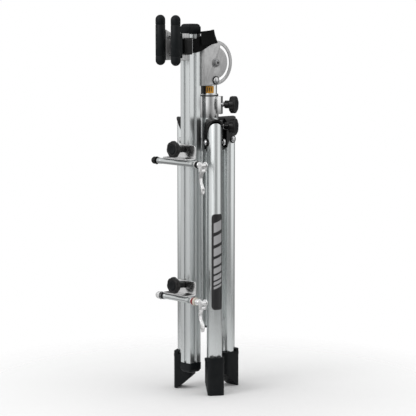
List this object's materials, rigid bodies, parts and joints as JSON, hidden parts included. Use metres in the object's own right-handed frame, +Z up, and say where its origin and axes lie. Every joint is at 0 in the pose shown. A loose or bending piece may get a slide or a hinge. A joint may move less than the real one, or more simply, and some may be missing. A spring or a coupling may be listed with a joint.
{
  "type": "bike repair stand",
  "caption": "Folding repair stand for bicycles: a telescopic mast on a tripod carries a tilting rail with a padded cradle and quick-release axle mounts.",
  "frame": {"origin": "on the mast axis, at the floor plane under the three foot tips", "axes": "+Z up along the mast; -X from the mast towards the rail that carries the bicycle; quick-release levers on the -Y side"},
  "size_m": [0.235, 0.191, 0.943],
  "materials": {
    "satin_aluminium": "satin anodised, fine lengthwise grain",
    "polished_aluminium": "polished",
    "brushed_plate": "brushed",
    "zinc_plated": "bright zinc plate",
    "black_plastic": "moulded, lightly textured",
    "black_rubber": "moulded, semi-matt",
    "black_webbing": "woven nylon webbing"
  },
  "bodies": {
    "hub": {"hub_sleeve": "satin_aluminium", "leg_hood_1": "black_plastic", "leg_hood_2": "black_plastic", "leg_hood_3": "black_plastic", "leg_pivot_bolt_1": "zinc_plated", "leg_pivot_bolt_2": "zinc_plated", "leg_pivot_bolt_3": "zinc_plated"},
    "outer_mast": {"outer_mast_tube": "satin_aluminium", "outer_mast_plug": "black_plastic", "mast_collar": "polished_aluminium"},
    "swivel_bush": {"mast_bush": "black_plastic"},
    "inner_mast": {"inner_mast_tube": "satin_aluminium", "inner_mast_plug": "black_plastic", "mast_stop_ring": "polished_aluminium", "tilt_pivot_bolt": "zinc_plated", "tilt_clamp_bolt": "zinc_plated"},
    "mast_knob": {"mast_clamp_knob": "black_plastic", "mast_clamp_screw": "zinc_plated"},
    "hub_knob": {"hub_clamp_knob": "black_plastic", "hub_clamp_screw": "zinc_plated"},
    "tilt_knob": {"tilt_lock_knob": "black_plastic"},
    "rail_head": {"rail": "satin_aluminium", "rail_top_cap": "black_rubber", "rail_bottom_cap": "black_rubber", "sector_bracket": "brushed_plate", "sector_screw_1": "zinc_plated", "sector_screw_2": "zinc_plated", "cradle_bracket": "polished_aluminium", "cradle_screw_1": "zinc_plated", "cradle_screw_2": "zinc_plated", "pad_near": "black_rubber", "pad_far": "black_rubber", "pad_bolt_near_1": "zinc_plated", "pad_bolt_near_2": "zinc_plated", "pad_bolt_far_1": "zinc_plated", "pad_bolt_far_2": "zinc_plated", "strap": "black_webbing", "strap_buckle": "black_plastic"},
    "leg_1": {"leg_tube_1": "satin_aluminium", "foot_1": "black_rubber"},
    "leg_2": {"leg_tube_2": "satin_aluminium", "foot_2": "black_rubber"},
    "leg_3": {"leg_tube_3": "satin_aluminium", "foot_3": "black_rubber"},
    "upper_carriage": {"upper_carriage_t_bolt": "zinc_plated", "upper_carriage_glide": "black_plastic", "upper_carriage_plate": "polished_aluminium", "upper_axle_tube": "satin_aluminium", "upper_skewer": "polished_aluminium"},
    "upper_knob": {"upper_carriage_knob": "black_plastic"},
    "upper_cam_lever": {"upper_lever": "polished_aluminium"},
    "upper_nut": {"upper_skewer_nut": "black_plastic"},
    "lower_carriage": {"lower_carriage_t_bolt": "zinc_plated", "lower_carriage_glide": "black_plastic", "lower_carriage_plate": "polished_aluminium", "lower_axle_tube": "satin_aluminium", "lower_skewer": "polished_aluminium"},
    "lower_knob": {"lower_carriage_knob": "black_plastic"},
    "lower_cam_lever": {"lower_lever": "polished_aluminium"},
    "lower_nut": {"lower_skewer_nut": "black_plastic"}
  },
  "joints": [
    {"name": "leg_1_fold", "type": "hinge", "parent": "hub", "child": "leg_1", "pos_m": [0.063, 0, 0.63], "axis": [0, -1, 0], "range_deg": [0, 41]},
    {"name": "leg_2_fold", "type": "hinge", "parent": "hub", "child": "leg_2", "pos_m": [-0.0315, 0.05456, 0.63], "axis": [0.866, 0.5, 0], "range_deg": [0, 41]},
    {"name": "leg_3_fold", "type": "hinge", "parent": "hub", "child": "leg_3", "pos_m": [-0.0315, -0.05456, 0.63], "axis": [-0.866, 0.5, 0], "range_deg": [0, 41]},
    {"name": "mast_drop", "type": "slide", "parent": "hub", "child": "outer_mast", "axis": [0, 0, 1], "range_m": [0, 0.3]},
    {"name": "mast_swivel", "type": "hinge", "parent": "outer_mast", "child": "swivel_bush", "pos_m": [0, 0, 0.74], "axis": [0, 0, 1], "range_deg": [-7, 7]},
    {"name": "mast_extend", "type": "slide", "parent": "swivel_bush", "child": "inner_mast", "axis": [0, 0, 1], "range_m": [0, 0.35]},
    {"name": "rail_tilt", "type": "hinge", "parent": "inner_mast", "child": "rail_head", "pos_m": [0, 0, 0.823], "axis": [0, 1, 0], "range_deg": [0, 150]},
    {"name": "mast_knob_turn", "type": "hinge", "parent": "outer_mast", "child": "mast_knob", "pos_m": [0, 0, 0.72], "axis": [0.5, -0.866, 0], "continuous": true},
    {"name": "hub_knob_turn", "type": "hinge", "parent": "hub", "child": "hub_knob", "pos_m": [0, 0, 0.665], "axis": [0.5, -0.866, 0], "continuous": true},
    {"name": "tilt_knob_turn", "type": "hinge", "parent": "inner_mast", "child": "tilt_knob", "pos_m": [0, 0, 0.78], "axis": [0, 1, 0], "continuous": true},
    {"name": "upper_carriage_slide", "type": "slide", "parent": "rail_head", "child": "upper_carriage", "axis": [0, 0, 1], "range_m": [-0.12, 0.12]},
    {"name": "upper_knob_turn", "type": "hinge", "parent": "upper_carriage", "child": "upper_knob", "pos_m": [-0.11, 0, 0.614], "axis": [-1, 0, 0], "continuous": true},
    {"name": "upper_lever_throw", "type": "hinge", "parent": "upper_carriage", "child": "upper_cam_lever", "pos_m": [-0.11, -0.098, 0.5815], "axis": [-1, 0, 0], "range_deg": [0, 170]},
    {"name": "upper_nut_turn", "type": "hinge", "parent": "upper_carriage", "child": "upper_nut", "pos_m": [-0.11, 0.077, 0.5815], "axis": [0, 1, 0], "continuous": true},
    {"name": "lower_carriage_slide", "type": "slide", "parent": "rail_head", "child": "lower_carriage", "axis": [0, 0, 1], "range_m": [-0.1, 0.1]},
    {"name": "lower_knob_turn", "type": "hinge", "parent": "lower_carriage", "child": "lower_knob", "pos_m": [-0.11, 0, 0.2765], "axis": [-1, 0, 0], "continuous": true},
    {"name": "lower_lever_throw", "type": "hinge", "parent": "lower_carriage", "child": "lower_cam_lever", "pos_m": [-0.11, -0.098, 0.244], "axis": [-1, 0, 0], "range_deg": [0, 170]},
    {"name": "lower_nut_turn", "type": "hinge", "parent": "lower_carriage", "child": "lower_nut", "pos_m": [-0.11, 0.062, 0.244], "axis": [0, 1, 0], "continuous": true}
  ]
}
